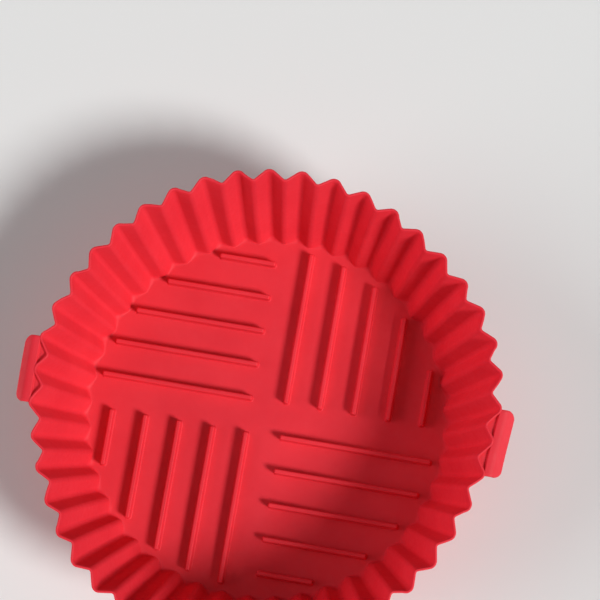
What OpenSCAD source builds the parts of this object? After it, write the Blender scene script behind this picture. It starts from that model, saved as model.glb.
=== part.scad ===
// Round silicone liner for an air fryer basket: a pleated cup moulded in one
// piece, with drainage ribs on its floor and two ear handles at its rim.
// Millimetres. +Z is up, the underside of the floor lies on Z = 0, and the
// handles are on the X axis.

/* [Cup] */
// Diameter over the flute crests at the rim
rim_d = 200; // [180:1:240]
// Diameter over the flute crests at the foot, where the wall line meets the table
foot_d = 163; // [157:1:176]
// Height from the table to the rim
cup_h = 56; // [40:1:80]
// Thickness of the wall
wall = 1.4; // [1:0.1:1.8]
// Thickness of the floor
floor_t = 1.6; // [1.2:0.1:3]
// Radius of the cove between the floor and the wall, inside
cove_r = 4; // [3:0.5:5]
// Rounding of the two edges of the rim
lip_round = 0.4; // [0.2:0.05:0.45]

/* [Flutes] */
// Number of flutes round the wall
flutes = 44; // [40:2:48]
// Depth of a flute at the rim, from crest to valley
rim_depth = 3.9; // [3:0.1:4.5]
// Depth of a flute at the foot of the wall
foot_depth = 2.9; // [2:0.1:3.2]
// Depth of the scallops that the flutes leave round the edge of the floor
floor_depth = 1.2; // [0.8:0.1:1.8]
// Radius of the fold at a crest, on the inside of the wall
crest_r = 1.3; // [0.8:0.1:1.6]
// Radius of the fold at a valley, on the outside of the wall
valley_r = 1.9; // [1.2:0.1:2.2]

/* [Floor ribs] */
// Number of ribs in each quarter of the floor
ribs = 5; // [2:1:5]
// Distance between neighbouring ribs, centre to centre
rib_pitch = 15; // [12:0.5:15.5]
// Height of a rib above the floor
rib_h = 5; // [3:0.5:8]
// Thickness of a rib
rib_t = 2.2; // [1.6:0.1:3]
// Rounding along the top edges of a rib
rib_round = 0.6; // [0.3:0.1:0.75]
// Distance from the outer ends of the ribs to the edge of the floor
rib_end_gap = 1.5; // [1:0.1:4]
// Distance from the inner ends of the ribs to the centre line they stop at
rib_stop = 7.5; // [5:0.5:10]

/* [Handles] */
// Depth of the pockets between the flutes and the ridge, below the rim
pocket_depth = 2; // [1:0.1:3]
// Thickness of the web under the pockets
web_t = 1.5; // [1.2:0.1:2]
// How far the ridge laps over the crests at the two ends of the handle
ridge_seat = 0.4; // [0.3:0.1:0.8]
// Width of the ridge
ridge_w = 3.3; // [2.6:0.1:4]
// How far the lip reaches out beyond the ridge
lip_reach = 4.4; // [3:0.1:6]
// How far the lip drops below the rim
lip_drop = 6.5; // [5.5:0.5:9]
// Thickness of the lip
lip_t = 1.6; // [1.2:0.1:2]
// Radius of the handle's two outer corners
corner_r = 3.5; // [1:0.5:4.5]

/* [Hidden] */

rim_r = rim_d / 2;
foot_r = foot_d / 2;
pitch_angle = 360 / flutes;
// Angle of the wall from upright, and the wall's width in a level cut.
lean = atan((rim_r - foot_r) / (cup_h - lip_round));
wall_across = wall / cos(lean);
crest_points = 4;
valley_points = 4;
fold_steps = 3;
// The flat of the floor ends where the cove's scallops begin. The floor disc
// ends just short of that, and laps over the ring that carries the wall.
floor_edge_r = foot_fold(foot_r - wall_across, floor_t, cove_r)[0][0] - floor_depth;
disc_r = floor_edge_r - 0.6;
ring_inner_r = disc_r - 1.4;
rib_reach_r = floor_edge_r - rib_end_gap;

// A handle spans two flutes, from crest to crest, and its ridge follows the
// chord between the two crests.
handle_half = rim_r * sin(pitch_angle);
ridge_x = rim_r * cos(pitch_angle) - ridge_seat;
edge_round = 0.5;
silicone = [0.86, 0.10, 0.15];

// Radius of the wall at the crests, outside, at height z.
function crest_radius(z) = foot_r + z * tan(lean);
// Depth of the flutes at height z.
function flute_depth(z) = foot_depth + (rim_depth - foot_depth) * z / cup_h;

// Angle, from the crest's own axis, at which the crest fold turns into the
// straight flank: the flank is the line that touches the crest fold and the
// valley fold, which lie on opposite sides of it.
function flank_angle(r, depth, rc, rv) =
    let (ax = r - rc,
         bx = (r - depth + rv) * cos(pitch_angle / 2),
         by = (r - depth + rv) * sin(pitch_angle / 2),
         gap = norm([bx - ax, by]))
    atan2(by, bx - ax) - acos((rc + rv) / gap);

// One crest and the valley after it, as points of a plan outline. The crest
// tip lies at radius r, and rc and rv are the fold radii of this surface.
function flute(r, depth, rc, rv) =
    let (a = flank_angle(r, depth, rc, rv),
         half = pitch_angle / 2,
         v = a - half,
         cr = r - rc,
         vr = r - depth + rv)
    concat(
        [for (i = [0:crest_points - 1])
            let (t = -a + 2 * a * i / (crest_points - 1))
            [cr + rc * cos(t), rc * sin(t)]],
        [for (i = [0:valley_points - 1])
            let (t = half + 180 + v - 2 * v * i / (valley_points - 1))
            [vr * cos(half) + rv * cos(t), vr * sin(half) + rv * sin(t)]]);

function turn(p, a) = [p.x * cos(a) - p.y * sin(a), p.x * sin(a) + p.y * cos(a)];
function at_height(outline, z) = [for (p = outline) [p.x, p.y, z]];

// The whole outline of the pleated wall, all its flutes in turn.
function pleats(r, depth, rc, rv) =
    let (one = flute(r, depth, rc, rv))
    [for (k = [0:flutes - 1]) for (p = one) turn(p, k * pitch_angle)];

function outer_pleats(r, depth, cut = 0) =
    pleats(r, depth, crest_r + wall_across - cut, valley_r + cut);
function inner_pleats(r, depth, cut = 0) =
    pleats(r, depth, crest_r + cut, valley_r + wall_across - cut);

// A circle with a point beside each point of the pleated outline.
function round_ring(r) =
    [for (p = inner_pleats(foot_r, floor_depth)) r * p / norm(p)];

// The fold from the floor into the wall, as [radius, height, depth]: an arc of
// radius fr that touches the level z0 and the wall line through foot radius r0.
function foot_fold(r0, z0, fr) =
    let (centre_r = r0 + (z0 + fr) * tan(lean) - fr / cos(lean),
         end_z = z0 + fr - fr * sin(lean))
    [for (i = [0:fold_steps])
        let (t = -90 + (90 - lean) * i / fold_steps,
             part = i / fold_steps)
        [centre_r + fr * cos(t),
         z0 + fr + fr * sin(t),
         floor_depth + (flute_depth(end_z) - floor_depth) * part]];

// The rings of the cup's wall, from the floor up the inside, over the rim and
// down the outside to the underside.
function inside_rings() =
    [for (s = foot_fold(foot_r - wall_across, floor_t, cove_r))
        at_height(inner_pleats(s[0], s[2]), s[1])];
function outside_rings() =
    let (fold = foot_fold(foot_r, 0, cove_r + wall))
    [for (i = [fold_steps:-1:0])
        at_height(outer_pleats(fold[i][0], fold[i][2]), fold[i][1])];
function rim_rings() =
    let (low = cup_h - lip_round,
         inner_r = crest_radius(low) - wall_across,
         outer_r = crest_radius(low))
    [at_height(inner_pleats(inner_r, rim_depth), low),
     at_height(inner_pleats(inner_r + lip_round, rim_depth, lip_round), cup_h),
     at_height(outer_pleats(outer_r - lip_round, rim_depth, lip_round), cup_h),
     at_height(outer_pleats(outer_r, rim_depth), low)];

// Closed solid through a loop of rings that all have the same number of points.
module ring_loft(rings) {
    n = len(rings[0]);
    m = len(rings);
    points = [for (ring = rings) for (p = ring) p];
    faces = [for (j = [0:m - 1]) for (i = [0:n - 1])
        let (a = j * n + i,
             b = j * n + (i + 1) % n,
             c = ((j + 1) % m) * n + (i + 1) % n,
             d = ((j + 1) % m) * n + i)
        each [[a, b, c], [a, c, d]]];
    polyhedron(points = points, faces = faces, convexity = 8);
}

module pleated_wall() {
    ring_loft(concat(
        [at_height(round_ring(ring_inner_r), floor_t)],
        inside_rings(),
        rim_rings(),
        outside_rings(),
        [at_height(round_ring(ring_inner_r), 0)]));
}

module floor_disc() {
    cylinder(h = floor_t, r = disc_r, $fn = 128);
}

// Section of a rib: a bar with its two top edges rounded.
module rib_section() {
    half = rib_t / 2 - rib_round;
    foot = floor_t / 2;
    top = floor_t + rib_h - rib_round;
    polygon(concat(
        [[-rib_t / 2, foot], [rib_t / 2, foot]],
        [for (t = [0:30:90]) [half + rib_round * cos(t), top + rib_round * sin(t)]],
        [for (t = [90:30:180]) [-half + rib_round * cos(t), top + rib_round * sin(t)]]));
}

// The ribs of one quarter run along X, and stop short of the centre line.
module rib_quarter() {
    for (i = [0:ribs - 1]) {
        y = (i + 0.5) * rib_pitch;
        reach = sqrt(rib_reach_r * rib_reach_r - y * y);
        translate([-reach, y, 0])
            rotate([90, 0, 90])
                linear_extrude(height = reach - rib_stop) rib_section();
    }
}

// Four quarters, each turned a right angle from the last, like a pinwheel.
module floor_ribs() {
    for (q = [0:3]) rotate([0, 0, -90 * q]) rib_quarter();
}

// Section of a handle, outwards from the wall: the web under the pockets, the
// ridge level with the rim, and the lip that turns down from it. The inner face
// of the ridge leans as the wall does.
module handle_section() {
    web_top = cup_h - pocket_depth;
    web_low = web_top - web_t;
    back = ridge_x - rim_depth - 3 * wall;
    ridge_end = ridge_x + ridge_w;
    lip_end = ridge_end + lip_reach;
    lip_low = cup_h - lip_drop;
    slope = atan2(lip_drop - edge_round, lip_reach);
    polygon([
        [back, web_low],
        [back, web_top],
        [ridge_x - pocket_depth * tan(lean), web_top],
        [ridge_x, cup_h - edge_round],
        [ridge_x + edge_round, cup_h],
        [ridge_end - edge_round, cup_h],
        [ridge_end, cup_h - edge_round],
        [lip_end, lip_low + edge_round],
        [lip_end - edge_round / 2, lip_low],
        [lip_end - lip_t / sin(slope) + edge_round / 2, lip_low],
        [lip_end - lip_t / sin(slope), lip_low + edge_round],
        [ridge_end - lip_t / sin(slope)
            + lip_reach * (cup_h - edge_round - web_low) / (lip_drop - 2 * edge_round), web_low]]);
}

// Plan of a handle: straight against the flutes, round at the outer corners.
module handle_plan() {
    back = ridge_x - rim_depth - 3 * wall - 1;
    front = ridge_x + ridge_w + lip_reach;
    turn_x = front - corner_r;
    turn_y = handle_half - corner_r;
    polygon(concat(
        [[back, -handle_half]],
        [for (t = [-90:18:0]) [turn_x + corner_r * cos(t), -turn_y + corner_r * sin(t)]],
        [for (t = [0:18:90]) [turn_x + corner_r * cos(t), turn_y + corner_r * sin(t)]],
        [[back, handle_half]]));
}

// The handle ends half way into the wall, along the flutes.
module handle() {
    web_mid = cup_h - pocket_depth - web_t / 2;
    half_wall = wall_across / 2;
    difference() {
        intersection() {
            translate([0, handle_half + 1, 0]) rotate([90, 0, 0])
                linear_extrude(height = 2 * handle_half + 2) handle_section();
            translate([0, 0, cup_h - lip_drop - 1])
                linear_extrude(height = lip_drop + 2) handle_plan();
        }
        translate([0, 0, cup_h - lip_drop - 2])
            linear_extrude(height = lip_drop + 4)
                polygon(pleats(crest_radius(web_mid) - half_wall, flute_depth(web_mid),
                    crest_r + half_wall, valley_r + half_wall));
    }
}

module liner() {
    color(silicone) union() {
        pleated_wall();
        floor_disc();
        floor_ribs();
        for (side = [0, 180]) rotate([0, 0, side]) handle();
    }
}

liner();
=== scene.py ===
# %% [markdown]
# # A pleated silicone liner for an air fryer
#
# The liner is a soft red cup, moulded in one piece: a flat floor with drainage
# ribs, a wall folded into 44 flutes, and an ear handle at each side of its rim.
# The exact model is loaded first. It gives the place and the size of everything,
# and the moulded shape made here stands in its place with finer folds, softer
# edges and a silicone finish.

# %% Load the exact model
import math

import bpy
import numpy as np
from mathutils import Matrix, Vector


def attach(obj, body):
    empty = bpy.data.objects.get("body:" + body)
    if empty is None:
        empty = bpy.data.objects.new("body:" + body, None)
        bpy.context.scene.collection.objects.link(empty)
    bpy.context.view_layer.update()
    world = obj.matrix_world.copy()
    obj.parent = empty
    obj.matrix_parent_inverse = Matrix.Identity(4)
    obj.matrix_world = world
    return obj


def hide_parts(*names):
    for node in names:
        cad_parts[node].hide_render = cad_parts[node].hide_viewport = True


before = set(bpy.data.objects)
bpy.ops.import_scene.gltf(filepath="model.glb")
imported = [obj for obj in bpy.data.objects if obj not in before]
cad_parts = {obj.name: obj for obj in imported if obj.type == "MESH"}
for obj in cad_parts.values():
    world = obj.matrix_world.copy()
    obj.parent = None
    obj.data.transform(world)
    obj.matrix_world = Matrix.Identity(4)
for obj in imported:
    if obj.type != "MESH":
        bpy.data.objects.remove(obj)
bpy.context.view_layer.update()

MM = 0.001

# %% [markdown]
# ## The sizes of the cup
#
# A mould maker starts from a handful of sizes. The wall leans out from the foot
# to the rim, so the flutes have room to open. All of them are in millimetres, and
# the mesh is scaled to metres at the very end.

# %% Sizes of the cup
RIM_R = 100.0
FOOT_R = 81.5
HEIGHT = 56.0
WALL = 1.4
WALL_AT_RIM = 1.05
FLOOR_T = 1.6
COVE_R = 3.0
LIP_R = 0.54
FLUTES = 44
PITCH = 2 * math.pi / FLUTES
RIM_LEVEL = HEIGHT - 0.4   # the height at which the crests reach RIM_R
LEAN = math.atan((RIM_R - FOOT_R) / RIM_LEVEL)
CREST_FOLD = 3.5
VALLEY_FOLD = 1.2
DEPTH_AT_RIM = 4.15
DEPTH_AT_FOOT = 3.1
DEPTH_AT_FLOOR = 1.3
print(f"the wall leans {math.degrees(LEAN):.1f} degrees, {FLUTES} flutes")

# %% [markdown]
# ## One flute, and the ring of all flutes
#
# Seen from above, a flute is two round folds joined by straight flanks: a wide
# fold at the crest, a tighter one at the valley. A sine wave would be quicker,
# but its flanks never run straight, and the wall then looks like a curtain and
# not like a moulded pleat. So each ring is worked out from its two fold radii and
# the line that touches both.
#
# Soft silicone isn't perfectly even. Each crest gets its own small offset from a
# seeded random generator, which grows towards the rim, where nothing holds it.

# %% One flute
FOLD_POINTS = 10
FLANK_POINTS = 2
RING_POINTS = FLUTES * 2 * (FOLD_POINTS + FLANK_POINTS)


def flute_points(tip_r, depth, crest_fold, valley_fold):
    """One crest and the valley after it, as points of the plan."""
    half = PITCH / 2
    crest = np.array([tip_r - crest_fold, 0.0])
    valley = (tip_r - depth + valley_fold) * np.array([math.cos(half), math.sin(half)])
    across = valley - crest
    turn = math.atan2(across[1], across[0]) - math.acos(
        min(1.0, (crest_fold + valley_fold) / np.linalg.norm(across)))
    t = np.linspace(-turn, turn, FOLD_POINTS)
    crest_arc = crest + crest_fold * np.c_[np.cos(t), np.sin(t)]
    bend = turn - half
    t = half + math.pi + np.linspace(bend, -bend, FOLD_POINTS)
    valley_arc = valley + valley_fold * np.c_[np.cos(t), np.sin(t)]
    next_crest = turned(crest_arc[:1], PITCH)[0]
    steps = np.arange(1, FLANK_POINTS + 1)[:, None] / (FLANK_POINTS + 1)
    down_flank = crest_arc[-1] + (valley_arc[0] - crest_arc[-1]) * steps
    up_flank = valley_arc[-1] + (next_crest - valley_arc[-1]) * steps
    return np.vstack([crest_arc, down_flank, valley_arc, up_flank])


def turned(points, angle):
    c, s = math.cos(angle), math.sin(angle)
    return points @ np.array([[c, s], [-s, c]])


print("points in a ring:", RING_POINTS)

# %% The ring of all flutes
SEED = 44
CREST_PLAY = 0.16      # mm, in or out
TWIST_PLAY = 0.0016    # radians, to either side
PLAY_RISE = 1.5        # how late the play grows on the way up
EAR_PULL_START = 26.0  # mm below the rim, where an ear begins to draw on the wall
EAR_PULL_SPAN = 24.0

rng = np.random.default_rng(SEED)
crest_play = rng.normal(0, CREST_PLAY, FLUTES)
crest_play -= crest_play.mean()
twist_play = rng.normal(0, TWIST_PLAY, FLUTES)


def crest_radius(z):
    """Outside radius at the crests, at height z."""
    return FOOT_R + z * math.tan(LEAN)


def flute_depth(z):
    return DEPTH_AT_FOOT + (DEPTH_AT_RIM - DEPTH_AT_FOOT) * z / HEIGHT


def wall_across(z):
    """Width of the wall in a level cut: it thins towards the rim."""
    return (WALL + (WALL_AT_RIM - WALL) * z / HEIGHT) / math.cos(LEAN)


def pleated_ring(tip_r, depth, z, inset=0.0):
    """The whole outline at height z, moved inwards through the wall by inset."""
    one = flute_points(tip_r - inset, depth, CREST_FOLD - inset, VALLEY_FOLD + inset)
    free = np.clip(z / HEIGHT, 0, 1) ** PLAY_RISE
    ring = []
    for k in range(FLUTES):
        points = turned(one, k * PITCH + twist_play[k] * free)
        reach = np.linalg.norm(points, axis=1)
        spread = np.interp(np.arange(len(one)), [0, len(one)],
                           [crest_play[k], crest_play[(k + 1) % FLUTES]])
        ring.append(points * ((reach + spread * free) / reach)[:, None])
    ring = np.vstack(ring)
    return np.c_[drawn_straight(ring, z), np.full(len(ring), z)]


def drawn_straight(ring, z):
    """The stiff ear draws the crests that it joins into one straight line."""
    reach = np.linalg.norm(ring, axis=1)
    away = np.abs(np.arctan2(np.abs(ring[:, 1]), np.abs(ring[:, 0])))
    chord = 1 - math.cos(PITCH) / np.cos(np.minimum(away, PITCH))
    hold = np.clip((z - HEIGHT + EAR_PULL_START) / EAR_PULL_SPAN, 0, 1)
    hold = hold * hold * (3 - 2 * hold)
    return ring * (1 - chord * hold)[:, None]


print("crests moved by up to", round(float(np.abs(crest_play).max()), 2), "mm")

# %% [markdown]
# ## The wall as a stack of rings
#
# Every surface of the cup is one skin of rings, from the middle of the underside,
# out to the foot, up the outside, over the lip, down the inside and back to the
# middle of the floor. All rings of the wall have the same number of points, so
# quads join them. Towards the middle that would make needle-thin faces, so there
# the number of points is halved again and again.

# %% Rings from the underside to the floor
FOLD_STEPS = 8
WALL_STEPS = 13
LIP_STEPS = 5
# Share of the edge's radius, and of its scallops, in the first two flat rings.
SCALLOP_RINGS = [(0.985, 0.45), (0.975, 0.1)]
# Radius in mm of each round ring, which keeps every n-th point of the edge.
FLAT_RINGS = [(75.0, 1), (71.0, 2), (65.5, 4), (58.5, 8), (50.0, 8), (41.0, 16),
              (32.0, 16), (23.0, 32), (14.0, 32), (6.0, 32)]


def fold_rings(foot_r, level, radius, inset):
    """The fold from a flat level into the wall, bottom ring first."""
    slope, cosine = math.tan(LEAN), math.cos(LEAN)
    middle_r = foot_r + (level + radius) * slope - radius / cosine
    last_z = level + radius - radius * math.sin(LEAN)
    rings = []
    for t in np.linspace(-math.pi / 2, -LEAN, FOLD_STEPS + 1):
        part = (t + math.pi / 2) / (math.pi / 2 - LEAN)
        soft = part * part * (3 - 2 * part)
        depth = DEPTH_AT_FLOOR + (flute_depth(last_z) - DEPTH_AT_FLOOR) * soft
        tip_r = middle_r + radius * math.cos(t) + inset
        rings.append(pleated_ring(tip_r, depth, level + radius + radius * math.sin(t), inset))
    return rings


def wall_rings(low_z, through):
    """Rings up to the lip, outside for through = 0 and inside for through = 1."""
    heights = np.linspace(low_z, HEIGHT - LIP_R, WALL_STEPS + 1)[1:]
    return [pleated_ring(crest_radius(z), flute_depth(z), z, through * wall_across(z))
            for z in heights]


def lip_rings():
    rings = []
    for t in np.linspace(0, math.pi / 2, LIP_STEPS + 1)[1:]:
        z = HEIGHT - LIP_R + LIP_R * math.sin(t)
        rings.append((LIP_R * (1 - math.cos(t)), z))
    back = [(wall_across(HEIGHT) - inset, z) for inset, z in reversed(rings)]
    return [pleated_ring(crest_radius(HEIGHT), DEPTH_AT_RIM, z, inset)
            for inset, z in rings + back]


def flat_rings(edge, z):
    """Rings from a scalloped edge towards the middle, with ever fewer points."""
    angles = np.arctan2(edge[:, 1], edge[:, 0])
    reach = np.linalg.norm(edge[:, :2], axis=1)
    rings = []
    for size, scallops in SCALLOP_RINGS:
        r = reach.mean() * size + (reach - reach.mean()) * scallops
        rings.append(np.c_[r * np.cos(angles), r * np.sin(angles), np.full(len(r), z)])
    for radius, every in FLAT_RINGS:
        a = angles[::every]
        rings.append(np.c_[radius * np.cos(a), radius * np.sin(a), np.full(len(a), z)])
    return rings


outer_fold = fold_rings(FOOT_R, 0.0, COVE_R + WALL, 0.0)
inner_fold = fold_rings(FOOT_R - wall_across(0), FLOOR_T, COVE_R, wall_across(0))
outside = outer_fold + wall_rings(outer_fold[-1][0, 2], 0)
inside = inner_fold + wall_rings(inner_fold[-1][0, 2], 1)
skin = (flat_rings(outside[0], 0.0)[::-1] + outside + lip_rings()
        + inside[::-1] + flat_rings(inside[0], FLOOR_T))
print("rings in the skin:", len(skin))

# %% [markdown]
# ## From rings to a closed mesh
#
# Two rings with the same number of points are joined by quads. Where the inner
# one has half as many, each of its points takes two of the outer ring's. The two
# smallest rings are closed with one flat face each, which makes the cup a
# watertight solid, and the joining step further on needs exactly that.

# %% Join the rings
def joined(a, b, start_a, start_b):
    """Faces between ring a and ring b, whose counts are equal or two to one."""
    n, m = len(a), len(b)
    if n == m:
        return [(start_a + i, start_a + (i + 1) % n, start_b + (i + 1) % n, start_b + i)
                for i in range(n)]
    if n < m:
        return [face[::-1] for face in joined(b, a, start_b, start_a)]
    faces = []
    for i in range(m):
        here, after = start_b + i, start_b + (i + 1) % m
        left, middle, right = (start_a + (2 * i + step) % n for step in range(3))
        faces += [(left, middle, here), (middle, after, here), (middle, right, after)]
    return faces


def new_piece(name, points, faces):
    mesh = bpy.data.meshes.new(name)
    mesh.from_pydata(points, [], faces)
    mesh.validate()
    piece = bpy.data.objects.new(name, mesh)
    bpy.context.scene.collection.objects.link(piece)
    return piece


def solid_of_rings(name, rings):
    starts = np.cumsum([0] + [len(ring) for ring in rings])
    faces = []
    for i in range(len(rings) - 1):
        faces += joined(rings[i], rings[i + 1], int(starts[i]), int(starts[i + 1]))
    faces.append(tuple(range(len(rings[0])))[::-1])
    faces.append(tuple(range(int(starts[-2]), int(starts[-1]))))
    return new_piece(name, np.vstack(rings).tolist(), faces)


cup = solid_of_rings("moulded_liner", skin)
print("cup:", len(cup.data.polygons), "faces")

# %% [markdown]
# ## The drainage ribs
#
# The ribs keep the food out of its fat. They stand 5 mm high, with square ends,
# a little draft so that the mould lets go of them, a soft top edge and a small
# fillet where they meet the floor. A cube with a bevel has no fillet at its foot.
# Here each rib is a stack of rounded rectangles, wide at the floor, and drawn in
# step by step as it rises.

# %% One rib
RIB_HEIGHT = 5.0
RIB_T = 2.2
RIB_TOP_R = 0.65
RIB_FOOT_R = 0.7
RIB_DRAFT = 0.025
RIB_CORNER = 0.75
RIB_ROOT = 0.5   # how deep a rib reaches into the floor
SUNK = 0.012     # how far the fillet's foot ends below the floor's face
LEAST_CORNER = 0.06   # mm, so that no corner of the top ring shrinks to a point
CORNER_POINTS = 6
SIDE_PIECES = 14


def rounded_bar(length, width, corner, spread):
    """Outline of a bar in plan, grown by spread on every side."""
    half_l, half_w = length / 2 + spread, width / 2 + spread
    r = max(corner + spread, LEAST_CORNER)
    points = []
    for cx, cy, first in ((1, 1, 0), (-1, 1, 90), (-1, -1, 180), (1, -1, 270)):
        for t in np.radians(np.linspace(first, first + 90, CORNER_POINTS)):
            points.append((cx * (half_l - r) + r * math.cos(t),
                           cy * (half_w - r) + r * math.sin(t)))
    outline = []
    for i, p in enumerate(points):
        q = points[(i + 1) % len(points)]
        outline.append(p)
        pieces = SIDE_PIECES if i % (2 * CORNER_POINTS) == CORNER_POINTS - 1 else 0
        outline += [tuple(np.add(p, np.subtract(q, p) * s / pieces)) for s in range(1, pieces)]
    return np.array(outline)


def rib_levels():
    """Spread and height of each ring of a rib, from under the floor to its top."""
    levels = [(RIB_FOOT_R, FLOOR_T - RIB_ROOT)]
    for t in np.radians(np.linspace(0, 90, 7)):
        levels.append((RIB_FOOT_R * (1 - math.sin(t)),
                       FLOOR_T - SUNK + RIB_FOOT_R * (1 - math.cos(t))))
    top = FLOOR_T + RIB_HEIGHT
    drawn = -RIB_DRAFT * (RIB_HEIGHT - RIB_FOOT_R - RIB_TOP_R)
    levels += [(drawn * 0.5, (levels[-1][1] + top - RIB_TOP_R) / 2)]
    for t in np.radians(np.linspace(0, 90, 7)):
        levels.append((drawn - RIB_TOP_R * (1 - math.cos(t)),
                       top - RIB_TOP_R + RIB_TOP_R * math.sin(t)))
    return levels


def rib_solid(name, start_x, end_x, y, quarter):
    rings = []
    for spread, z in rib_levels():
        plan = rounded_bar(end_x - start_x, RIB_T, RIB_CORNER, spread)
        plan = turned(plan + [(start_x + end_x) / 2, y], quarter)
        rings.append(np.c_[plan, np.full(len(plan), z)])
    return solid_of_rings(name, rings)


print("levels in a rib:", len(rib_levels()))

# %% [markdown]
# ## The pinwheel
#
# Each quarter of the floor has five ribs side by side, 15 mm apart. They run from
# the edge of the floor towards the middle, and stop at the first rib of the next
# quarter. Each quarter is the one before it, turned by a right angle.

# %% Ribs in four quarters
RIBS = 5
RIB_PITCH = 15.0
RIB_STOP = 7.5
RIB_REACH = 74.9

ribs = []
for quarter in range(4):
    for i in range(RIBS):
        y = (i + 0.5) * RIB_PITCH
        reach = math.sqrt(RIB_REACH ** 2 - y * y)
        ribs.append(rib_solid(f"rib_{quarter}_{i}", -reach, -RIB_STOP, y,
                              -quarter * math.pi / 2))
print("ribs:", len(ribs))

# %% [markdown]
# ## The ear handles
#
# A handle joins three neighbouring crests. Read outwards from the wall, it is a
# thin web a little below the rim, a ridge level with the rim, and a lip that
# turns down for the fingers. The web shows between the flutes as small
# triangular pockets.
#
# An extruded section would have hard edges all round, and a bevel breaks up on
# such a thin sheet. So the handle is made as two sheets over the same plan. The
# upper one follows the ridge and the lip, the lower one the underside. Near the
# edge of the plan they bend towards each other, which rounds every edge.

# %% Heights of the handle's two sheets
RIDGE_SEAT = 0.4
RIDGE_X = RIM_R * math.cos(PITCH) - RIDGE_SEAT
RIDGE_W = 3.3
LIP_REACH = 3.6
LIP_DROP = 6.4
RIDGE_TOP = HEIGHT - 0.35
LIP_T = 1.7
POCKET = 1.5
WEB_T = 1.5
WEB_TOP = HEIGHT - POCKET
WEB_LOW = WEB_TOP - WEB_T
EDGE_R = 0.6
CORNER_R = 3.5
RIDGE_END = RIDGE_X + RIDGE_W
FRONT = RIDGE_END + LIP_REACH
HANDLE_HALF = RIM_R * math.sin(PITCH)
BACK = RIDGE_X - 12.0   # inside the cup, cut away further on
SECOND_ROW = 5.0        # from the back edge to the next row of points
PAST = 1.0              # both lines run on past the lip's end
TIP_SHARE = 0.6         # share of the lip's thickness that its drop leaves out
WEB_FOLD, SEAT_FOLD, RIDGE_FOLD, KNEE_FOLD = 0.25, 0.5, 3.4, 0.8
SLOPE = math.atan2(LIP_DROP - LIP_T * TIP_SHARE, LIP_REACH)


def rounded_line(corners, steps=6):
    """A line through corners (x, z, radius), each bend rounded."""
    points = [corners[0][:2]]
    for before, here, after in zip(corners, corners[1:], corners[2:]):
        p, radius = np.array(here[:2]), here[2]
        a, b = np.array(before[:2]) - p, np.array(after[:2]) - p
        a, b = a / np.linalg.norm(a), b / np.linalg.norm(b)
        half = math.acos(a @ b) / 2
        middle = p + (a + b) / np.linalg.norm(a + b) * radius / math.sin(half)
        ends = [p + v * radius / math.tan(half) - middle for v in (a, b)]
        first, last = (math.atan2(v[1], v[0]) for v in ends)
        sweep = (last - first + math.pi) % (2 * math.pi) - math.pi
        t = first + sweep * np.linspace(0, 1, steps)
        points += (middle + radius * np.c_[np.cos(t), np.sin(t)]).tolist()
    return np.array(points + [corners[-1][:2]])


down = math.tan(SLOPE)
upper_line = rounded_line([
    (BACK, WEB_TOP, 0), (RIDGE_X - POCKET * math.tan(LEAN), WEB_TOP, WEB_FOLD),
    (RIDGE_X, RIDGE_TOP, SEAT_FOLD), (RIDGE_END, RIDGE_TOP, RIDGE_FOLD),
    (FRONT + PAST, RIDGE_TOP - (LIP_REACH + PAST) * down, 0)])
under = LIP_T / math.cos(SLOPE)
knee_x = RIDGE_END + (RIDGE_TOP - under - WEB_LOW) / down
lower_line = rounded_line([
    (BACK, WEB_LOW, 0), (knee_x, WEB_LOW, KNEE_FOLD),
    (FRONT + PAST, RIDGE_TOP - under - (LIP_REACH + PAST) * down, 0)])
print("lip ends at height", round(RIDGE_TOP - under - LIP_REACH * down, 1), "mm")

# %% The handle over its plan
EDGE_TURN = [0, 18, 36, 54, 72, 90]
NEAR_EDGE = [0.95, 1.5, 2.2, 3.0, 4.0]
MIDDLE_HALF = 9.2
MIDDLE_ROWS = 17
LIP_ROWS = 7
EDGE_ROOM = 1.3


def edge_distance(x, y):
    """How far a point of the plan lies inside the handle's outer edge."""
    side, front = HANDLE_HALF - np.abs(y), FRONT - x
    corner = CORNER_R - np.hypot(CORNER_R - front, CORNER_R - side)
    in_corner = (front < CORNER_R) & (side < CORNER_R)
    return np.clip(np.where(in_corner, corner, np.minimum(side, front)), 0, None)


def plan_front(y):
    past = max(0.0, abs(y) - (HANDLE_HALF - CORNER_R))
    return FRONT - CORNER_R + math.sqrt(max(0.0, CORNER_R ** 2 - past ** 2))


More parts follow.
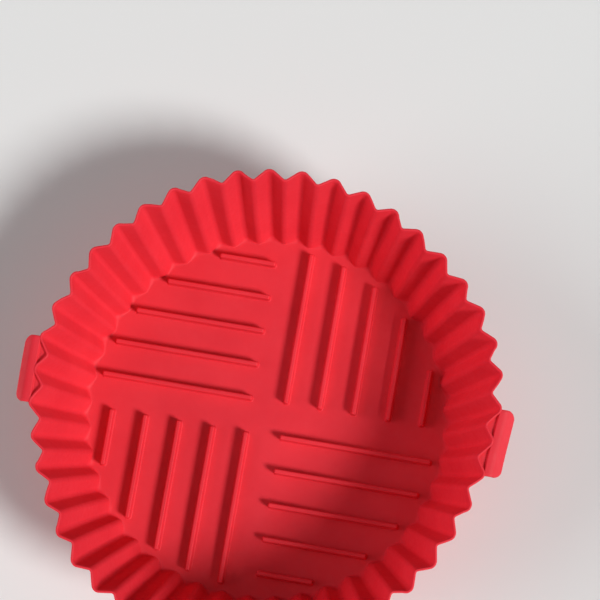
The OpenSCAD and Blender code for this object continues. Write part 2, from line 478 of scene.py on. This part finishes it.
def handle_solid(name, side):
    near = EDGE_R * (1 - np.cos(np.radians(EDGE_TURN)))
    ends = np.r_[near, NEAR_EDGE]
    middle = np.linspace(-MIDDLE_HALF, MIDDLE_HALF, MIDDLE_ROWS)
    across = np.r_[-HANDLE_HALF + ends, middle, (HANDLE_HALF - ends)[::-1]]
    fixed = np.r_[BACK, BACK + SECOND_ROW, upper_line[1:-1, 0]]
    share = np.linspace(0, 1, LIP_ROWS + 2)[1:-1]
    grid = []
    for y in across:
        front = plan_front(y)
        room = front - fixed[-1]
        stop = front - near[::-1] * min(1.0, room / EDGE_ROOM)
        x = np.r_[fixed, fixed[-1] + (stop[0] - fixed[-1]) * share, stop]
        grid.append(np.c_[x, np.full(len(x), y)])
    grid = np.array(grid)
    x, y = grid[..., 0], grid[..., 1]
    d = np.minimum(edge_distance(x, y), EDGE_R)
    bend = EDGE_R - np.sqrt(EDGE_R ** 2 - (EDGE_R - d) ** 2)
    upper = np.interp(x, *upper_line.T) - bend
    lower = np.interp(x, *lower_line.T) + bend
    rows, columns = x.shape
    sheets = np.stack([np.stack([x * side, y * side, z], -1) for z in (upper, lower)])
    index = np.arange(sheets[..., 0].size).reshape(2, rows, columns)
    top, low = index
    quads = [(top[j, i], top[j, i + 1], top[j + 1, i + 1], top[j + 1, i])
             for j in range(rows - 1) for i in range(columns - 1)]
    quads += [(low[j, i], low[j + 1, i], low[j + 1, i + 1], low[j, i + 1])
              for j in range(rows - 1) for i in range(columns - 1)]
    rim = ([(0, i) for i in range(columns)] + [(j, columns - 1) for j in range(1, rows)]
           + [(rows - 1, i) for i in range(columns - 2, -1, -1)]
           + [(j, 0) for j in range(rows - 2, 0, -1)])
    quads += [(top[a], low[a], low[b], top[b]) for a, b in zip(rim, rim[1:] + rim[:1])]
    return new_piece(name, sheets.reshape(-1, 3).tolist(),
                     [tuple(int(v) for v in q) for q in quads])


handles = [handle_solid("handle_right", 1), handle_solid("handle_left", -1)]
print("faces in a handle:", len(handles[0].data.polygons))

# %% [markdown]
# ## One moulding
#
# On the real liner nothing is glued on: cup, ribs and handles are one piece of
# silicone. A Boolean union makes the same of the separate solids. The handles
# would reach into the cup, so a plug with the shape of the cup's inside, taken at
# the middle of the wall, is first cut away from them.
#
# The Manifold solver is used. It is exact about which side of a face lies inside,
# and it is fast, but it takes only closed solids, which is why all of them were
# closed above.

# %% Cut the handles and join the solids
def merged(name, solids):
    """Several separate solids as one mesh of several shells."""
    points, faces = [], []
    for solid in solids:
        start = len(points)
        points += [tuple(v.co) for v in solid.data.vertices]
        faces += [tuple(start + i for i in f.vertices) for f in solid.data.polygons]
        bpy.data.objects.remove(solid)
    return new_piece(name, points, faces)


def carve(solid, other, operation):
    """Applies one Boolean to solid, and removes the other solid."""
    step = solid.modifiers.new(operation.lower(), "BOOLEAN")
    step.operation = operation
    step.solver = "MANIFOLD"
    step.object = other
    bpy.context.view_layer.update()
    result = bpy.data.meshes.new_from_object(
        solid.evaluated_get(bpy.context.evaluated_depsgraph_get()))
    solid.modifiers.clear()
    solid.data = result
    bpy.data.objects.remove(other)
    print(operation.lower(), "leaves", len(result.polygons), "faces")


PLUG_HEIGHTS = np.linspace(HEIGHT - 12, HEIGHT + 4, 9)
plug = solid_of_rings("plug", [
    pleated_ring(crest_radius(z), flute_depth(z), z, wall_across(z) / 2)
    for z in PLUG_HEIGHTS])
handle_pair = merged("handle_pair", handles)
carve(handle_pair, plug, "DIFFERENCE")
carve(cup, merged("added_shapes", ribs + [handle_pair]), "UNION")

# %% [markdown]
# ## Silicone gives a little
#
# A liner that has been washed and stacked is never quite round. Its rim is pushed
# in by 2 to 3 mm round the left handle and wanders by up to 3 mm either way
# elsewhere, it rises and falls by a few tenths, and the floor isn't dead flat.
#
# The rim's bends are a short list of waves. Each has a number of lobes round the
# rim and two sizes in millimetres, for its even and its odd part. A bend grows
# from nothing at the foot, and where it moves the wall outwards it also moves it
# a little sideways, as a bent ring does. All points are moved by this one smooth
# rule, so nothing that was joined comes apart, and the foot stays flat on the
# table. The mesh is then scaled from millimetres to metres.

# %% Bend the whole piece a little
RIM_BENDS = [(1, 0.94, 0.65), (2, -1.27, 1.22), (3, 0.93, 0.43), (4, -0.23, 0.02),
             (5, -0.54, 0.87), (6, 0.19, 0.39), (7, -0.23, 0.06)]
BEND_RISE = 1.3    # how late the bends grow on the way up
RIM_WAVE = 0.22
FLOOR_WAVE = 0.09
SWELL_END = 6.0    # mm inside the foot's edge, and from there on the floor lies still
SWELL_FADE = 14.0


def relaxed(points):
    x, y, z = points.T
    reach, angle = np.hypot(x, y), np.arctan2(y, x)
    rise = np.clip(z / HEIGHT, 0, 1) ** BEND_RISE
    outward, sideways = np.zeros_like(reach), np.zeros_like(reach)
    for count, even, odd in RIM_BENDS:
        c, s = np.cos(count * angle), np.sin(count * angle)
        outward += even * c + odd * s
        sideways += (odd * c - even * s) / count
    reach_new = reach * (1 + outward / RIM_R * rise)
    angle_new = angle + sideways / RIM_R * rise
    wave = RIM_WAVE * (np.sin(3 * angle + 0.6) + 0.5 * np.sin(5 * angle + 2.2)) * rise ** 3
    middle = (np.clip((FOOT_R - SWELL_END - reach) / SWELL_FADE, 0, 1)
              * np.clip((z - FLOOR_T / 2) / (FLOOR_T / 2), 0, 1))
    swell = FLOOR_WAVE * middle * (np.sin(x / 19 + 0.4) * np.cos(y / 23 - 0.9)
                                   + 0.6 * np.sin((x + 1.7 * y) / 29))
    return np.c_[reach_new * np.cos(angle_new), reach_new * np.sin(angle_new),
                 z + wave + swell]


def move_points(piece, rule, scale):
    flat = np.empty(len(piece.data.vertices) * 3)
    piece.data.vertices.foreach_get("co", flat)
    moved = rule(flat.reshape(-1, 3)) * scale
    piece.data.vertices.foreach_set("co", moved.ravel())
    piece.data.update()
    return moved


final = move_points(cup, relaxed, MM)
print("moulded shape, mm:", np.round(np.ptp(final, axis=0) / MM, 1))

# %% [markdown]
# ## Smooth skin, crisp corners
#
# Smooth shading hides the facets of the folds. Where two faces meet at a real
# corner, as between the web of a handle and the wall, the edge is marked sharp,
# or the shading would smear across it. The weighted normals keep the large flat
# floor flat right up to the fillets of the ribs.

# %% Shading
SHARP_FROM = 38
cup.data.shade_smooth()
cup.data.set_sharp_from_angle(angle=math.radians(SHARP_FROM))
weigh = cup.modifiers.new("weighted", "WEIGHTED_NORMAL")
weigh.keep_sharp = True
weigh.weight = 80
print("triangles:", sum(len(f.vertices) - 2 for f in cup.data.polygons))

# %% [markdown]
# ## Satin red silicone
#
# Moulded silicone is a full red, a little paler where the light comes through a
# thin edge. Its mould is blasted with fine grit, so the skin is satin: a broad
# soft highlight and a grain that shows only from near. Light also enters it and
# comes out a millimetre or two further on, which is what tells it from paint.

# %% The silicone material
def link(material, a, b):
    material.node_tree.links.new(a, b)


silicone = bpy.data.materials.new("satin_red_silicone")
silicone.use_nodes = True
nodes = silicone.node_tree.nodes
skin_shader = nodes["Principled BSDF"]
skin_shader.inputs["IOR"].default_value = 1.41
skin_shader.inputs["Specular IOR Level"].default_value = 0.55
skin_shader.inputs["Subsurface Weight"].default_value = 0.18
skin_shader.inputs["Subsurface Radius"].default_value = (1.0, 0.22, 0.18)
skin_shader.inputs["Subsurface Scale"].default_value = 0.0025

place = nodes.new("ShaderNodeTexCoord")


def noise(scale, detail=2.0):
    texture = nodes.new("ShaderNodeTexNoise")
    texture.inputs["Scale"].default_value = scale
    texture.inputs["Detail"].default_value = detail
    link(silicone, place.outputs["Object"], texture.inputs["Vector"])
    return texture.outputs["Fac"]


def between(value, low, high, low_to, high_to):
    spread = nodes.new("ShaderNodeMapRange")
    for name, number in (("From Min", low), ("From Max", high),
                         ("To Min", low_to), ("To Max", high_to)):
        spread.inputs[name].default_value = number
    link(silicone, value, spread.inputs["Value"])
    return spread.outputs["Result"]


PATCHES_A_METRE = 45
SHINE_A_METRE = 420
pigment = nodes.new("ShaderNodeMix")
pigment.data_type = "RGBA"
pigment.inputs["A"].default_value = (0.75, 0.021, 0.038, 1)
pigment.inputs["B"].default_value = (0.79, 0.027, 0.045, 1)
link(silicone, between(noise(PATCHES_A_METRE, 3), 0.35, 0.65, 0, 1), pigment.inputs["Factor"])
link(silicone, pigment.outputs["Result"], skin_shader.inputs["Base Color"])
link(silicone, between(noise(SHINE_A_METRE), 0.3, 0.7, 0.60, 0.72),
     skin_shader.inputs["Roughness"])
print("silicone with", len(nodes), "nodes so far")

# %% The grain of the mould
GRAINS_A_METRE = 2600
FLOWS_A_METRE = 38
grain = nodes.new("ShaderNodeBump")
grain.inputs["Strength"].default_value = 0.35
grain.inputs["Distance"].default_value = 0.00003
link(silicone, noise(GRAINS_A_METRE, 3), grain.inputs["Height"])
flow = nodes.new("ShaderNodeBump")
flow.inputs["Strength"].default_value = 0.5
flow.inputs["Distance"].default_value = 0.00006
link(silicone, noise(FLOWS_A_METRE, 1), flow.inputs["Height"])
link(silicone, grain.outputs["Normal"], flow.inputs["Normal"])
link(silicone, flow.outputs["Normal"], skin_shader.inputs["Normal"])
cup.data.materials.clear()
cup.data.materials.append(silicone)
print("grain about", round(1000 / GRAINS_A_METRE, 2), "mm across")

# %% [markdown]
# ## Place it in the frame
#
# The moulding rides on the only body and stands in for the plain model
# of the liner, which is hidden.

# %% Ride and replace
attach(cup, "root")
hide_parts("liner")
print("piece:", cup.name)

# %% [markdown]
# ## Table, light and camera
#
# A pale table and a soft light from one side show the flutes best: every flute
# gets a lit flank and a shaded one. All lamps are suns, so their light is as
# strong at the far end of the table as at the cup. The key lamp stands half way
# up on the right and leaves shadows with a soft edge. The fill lamp, low on the
# left, is very wide. A weak lamp overhead and a dim sky do the rest. Fill and sky
# are left out of reflections, because their shine would turn the shaded flanks
# milky. Only the camera sees the pale backdrop, which adds no light.
#
# The camera looks down at about 82 degrees through a long lens, so the rim stays
# nearly round.

# %% Table
SIDE = 3.0
table = new_piece("table", [(-SIDE, -SIDE, 0), (SIDE, -SIDE, 0), (SIDE, SIDE, 0),
                            (-SIDE, SIDE, 0)], [(0, 1, 2, 3)])
table.location.z = -0.2 * MM
pale = bpy.data.materials.new("pale_table")
pale.use_nodes = True
pale_shader = pale.node_tree.nodes["Principled BSDF"]
pale_shader.inputs["Base Color"].default_value = (0.76, 0.76, 0.75, 1)
pale_shader.inputs["Roughness"].default_value = 0.8
table.data.materials.append(pale)
print("table", 2 * SIDE, "m wide")

# %% Lamps and sky
def lamp(name, direction, softness, strength):
    """A far lamp, softness degrees wide in the sky, shining at the cup."""
    data = bpy.data.lights.new(name, "SUN")
    data.angle = math.radians(softness)
    data.energy = strength
    holder = bpy.data.objects.new(name, data)
    toward = Vector(direction).normalized()
    holder.location = toward
    holder.rotation_euler = toward.to_track_quat("Z", "Y").to_euler()
    bpy.context.scene.collection.objects.link(holder)
    return holder


lamp("key", (0.67, -0.283, 0.655), 17, 2.95)
lamp("fill", (-0.87, -0.14, 0.38), 50, 1.65).visible_glossy = False
lamp("overhead", (-0.15, 0.1, 1.0), 50, 0.2)
sky = bpy.data.worlds.new("sky")
sky.use_nodes = True
dim = sky.node_tree.nodes["Background"]
dim.inputs["Color"].default_value = (0.9, 0.93, 1.0, 1)
dim.inputs["Strength"].default_value = 0.085
backdrop = sky.node_tree.nodes.new("ShaderNodeBackground")
backdrop.inputs["Color"].default_value = (0.72, 0.73, 0.74, 1)
seen = sky.node_tree.nodes.new("ShaderNodeLightPath")
choose = sky.node_tree.nodes.new("ShaderNodeMixShader")
link(sky, seen.outputs["Is Camera Ray"], choose.inputs["Fac"])
link(sky, dim.outputs["Background"], choose.inputs[1])
link(sky, backdrop.outputs["Background"], choose.inputs[2])
link(sky, choose.outputs["Shader"], sky.node_tree.nodes["World Output"].inputs["Surface"])
bpy.context.scene.world = sky
sky.cycles_visibility.glossy = False
bpy.context.scene.view_settings.view_transform = "Standard"

# %% Camera
camera_data = bpy.data.cameras.new("camera")
camera_data.sensor_width = 36.0
camera_data.lens = 156.0
camera_data.clip_start, camera_data.clip_end = 0.01, 20
camera = bpy.data.objects.new("camera", camera_data)
right = Vector((0.98434, 0.17037, -0.04522))
up = Vector((-0.16317, 0.97775, 0.13188))
place_of_eye = Vector((82.27, -86.61, 1140.16)) * MM
camera.matrix_world = Matrix.Translation(place_of_eye) @ Matrix(
    (right, up, right.cross(up))).transposed().to_4x4()
bpy.context.scene.collection.objects.link(camera)
bpy.context.scene.camera = camera
print("lens", round(camera_data.lens), "mm")
